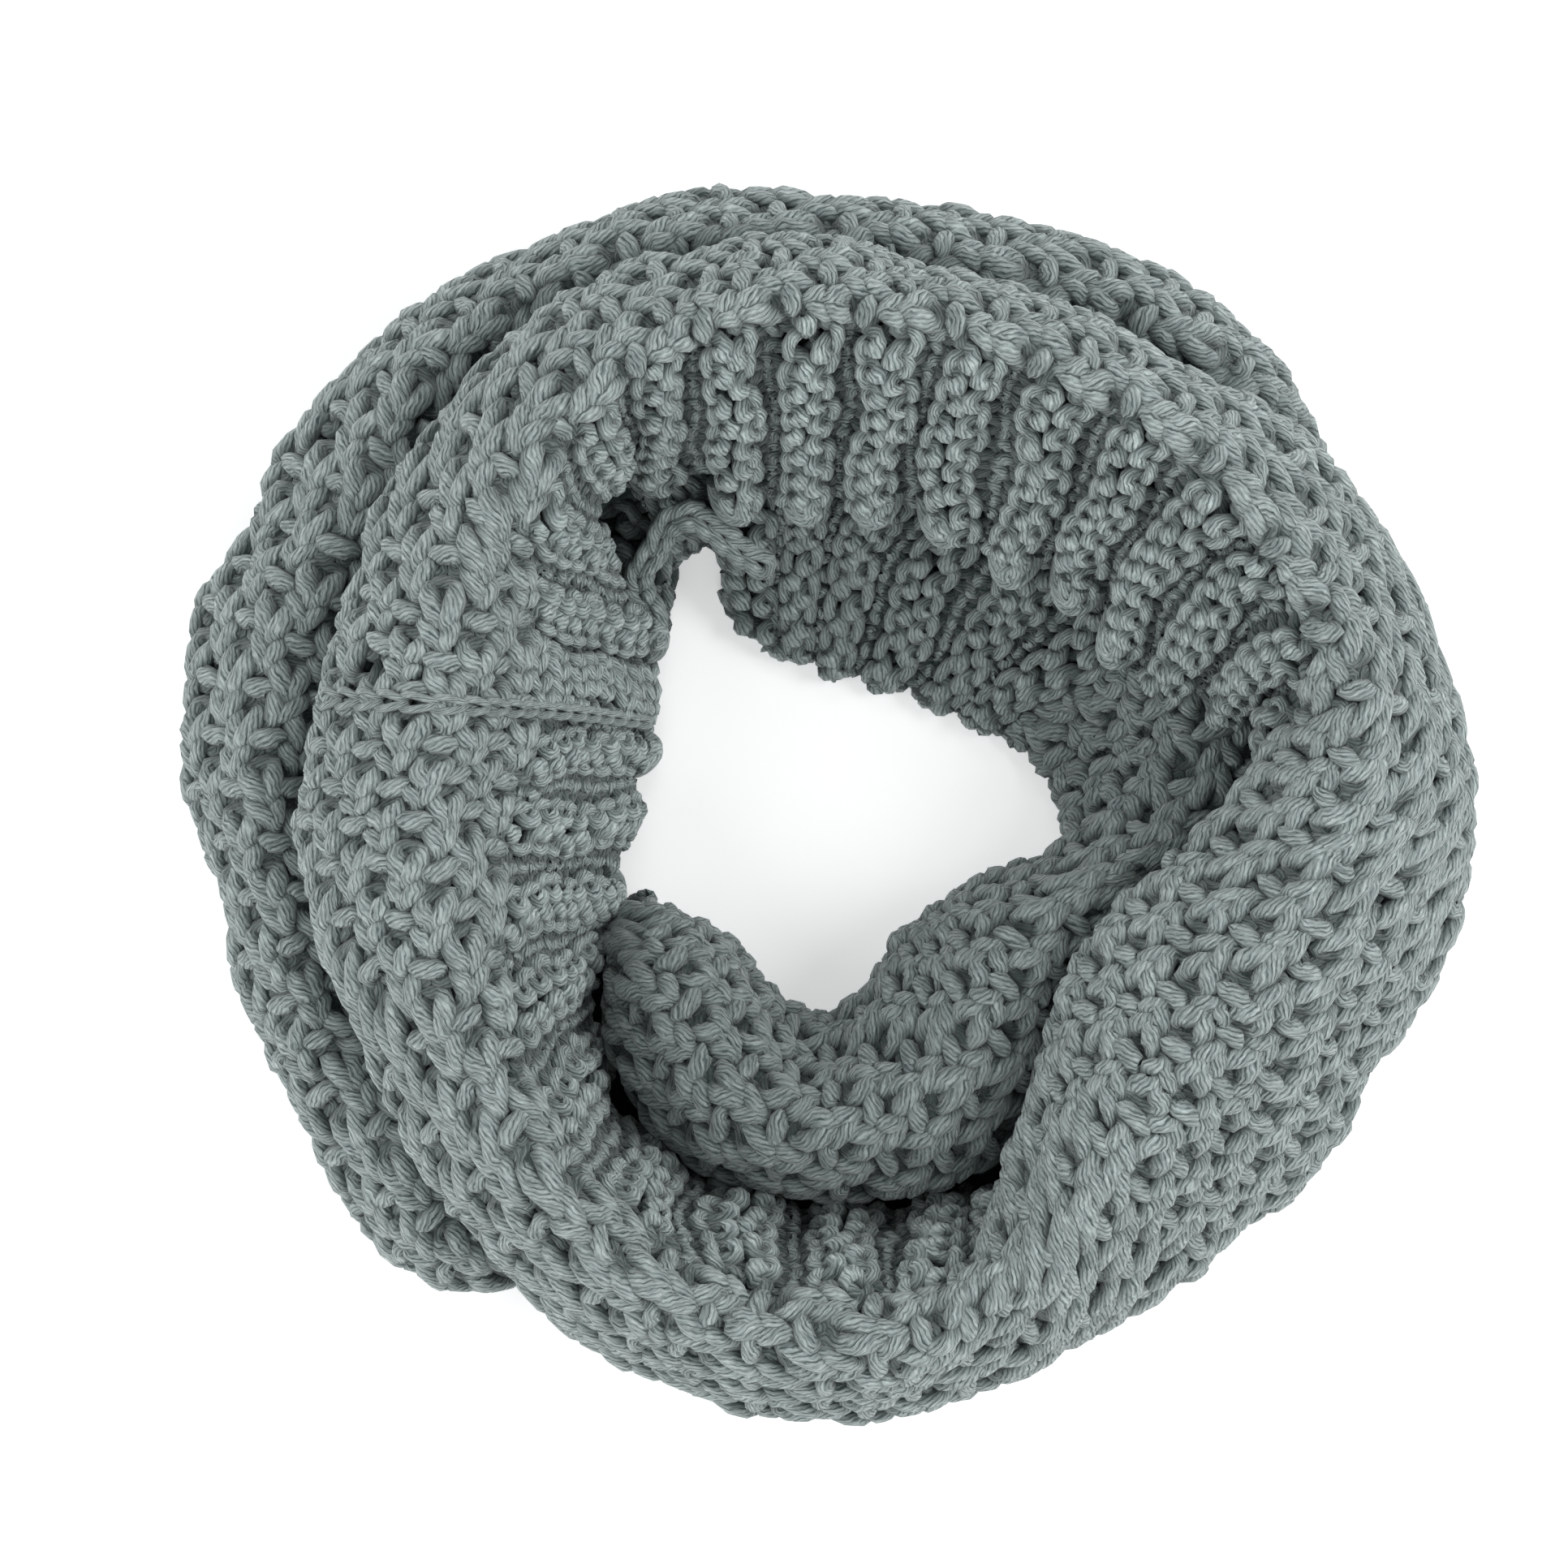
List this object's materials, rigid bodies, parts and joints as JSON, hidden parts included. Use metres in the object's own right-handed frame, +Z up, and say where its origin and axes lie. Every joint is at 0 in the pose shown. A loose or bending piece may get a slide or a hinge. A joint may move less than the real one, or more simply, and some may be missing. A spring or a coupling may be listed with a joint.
{
  "type": "chunky knitted infinity scarf",
  "caption": "Chunky moss-stitch infinity scarf with welted edges, wound in two turns and laid down in a ring, with a hole for the neck.",
  "frame": {"origin": "middle of the ring's outline, on the surface that the scarf lies on", "axes": "+Z up out of the ring's hole; +X to the side where the upper turn reaches the surface; +Y to the back, where the welted edges of both turns show"},
  "size_m": [0.3383, 0.3233, 0.0902],
  "materials": {
    "wool_textured": "matte, fuzzy, moss-stitch knit",
    "wool_welted": "matte, fuzzy, welted knit",
    "wool_hidden": "matte, folded layers"
  },
  "bodies": {
    "root": {"hidden_layers": "wool_hidden", "inner_turn_back": "wool_welted", "inner_turn_front": "wool_textured", "joining_seam": "wool_welted", "outer_turn_back": "wool_textured", "outer_turn_left": "wool_textured", "upper_border_back": "wool_welted", "upper_border_front": "wool_welted", "upper_border_left": "wool_welted", "upper_turn_back": "wool_textured", "upper_turn_front": "wool_textured", "upper_turn_left": "wool_textured", "upper_turn_right": "wool_textured"}
  },
  "joints": []
}
